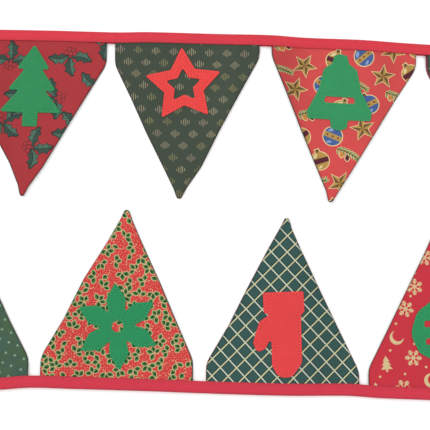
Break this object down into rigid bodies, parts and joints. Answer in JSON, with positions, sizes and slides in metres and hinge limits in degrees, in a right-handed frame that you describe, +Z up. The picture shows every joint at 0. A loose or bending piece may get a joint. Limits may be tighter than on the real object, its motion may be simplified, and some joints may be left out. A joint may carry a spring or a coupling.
{
  "type": "fabric bunting",
  "caption": "Bunting of double-sided printed cotton pennants in a folded tape, laid flat with the tape doubled back on itself, and with cut-out festive motifs sewn on.",
  "frame": {"origin": "middle of the laid-out bunting's outline, on the surface it rests on", "axes": "+X along the rows towards the turn of the tape, +Y towards the row whose pennants point to the other row with their tips down the page, +Z up off the surface"},
  "size_m": [0.9637, 0.4028, 0.0052],
  "materials": {
    "tape": "crimson cotton bias binding",
    "holly_print": "red cotton printed with dark green holly",
    "fan_print": "dark green cotton with small gold fans",
    "festive_print": "red cotton printed in gold, blue and green",
    "pine_print": "dark green cotton with small pale stars",
    "gilt_print": "crimson cotton printed in gold",
    "lattice_print": "dark teal cotton with a gold diagonal lattice",
    "sprig_print": "orange-red cotton with pin dots and small leaf sprigs",
    "dot_print": "mottled green cotton with pale dots",
    "plain_backing": "plain woven cotton",
    "green_applique": "green cotton, stitched near its edge",
    "red_applique": "red cotton, stitched near its edge"
  },
  "bodies": {
    "root": {"tape": "tape", "holly_front": "holly_print", "holly_back": "plain_backing", "holly_motif": "green_applique", "fan_front": "fan_print", "fan_back": "plain_backing", "fan_motif": "red_applique", "festive_front": "festive_print", "festive_back": "plain_backing", "festive_motif": "green_applique", "pine_front": "pine_print", "pine_back": "plain_backing", "pine_motif": "red_applique", "gilt_front": "gilt_print", "gilt_back": "plain_backing", "gilt_motif": "green_applique", "lattice_front": "lattice_print", "lattice_back": "plain_backing", "lattice_motif": "red_applique", "sprig_front": "sprig_print", "sprig_back": "plain_backing", "sprig_motif": "green_applique", "dot_front": "dot_print", "dot_back": "plain_backing", "dot_motif": "red_applique"}
  },
  "joints": []
}
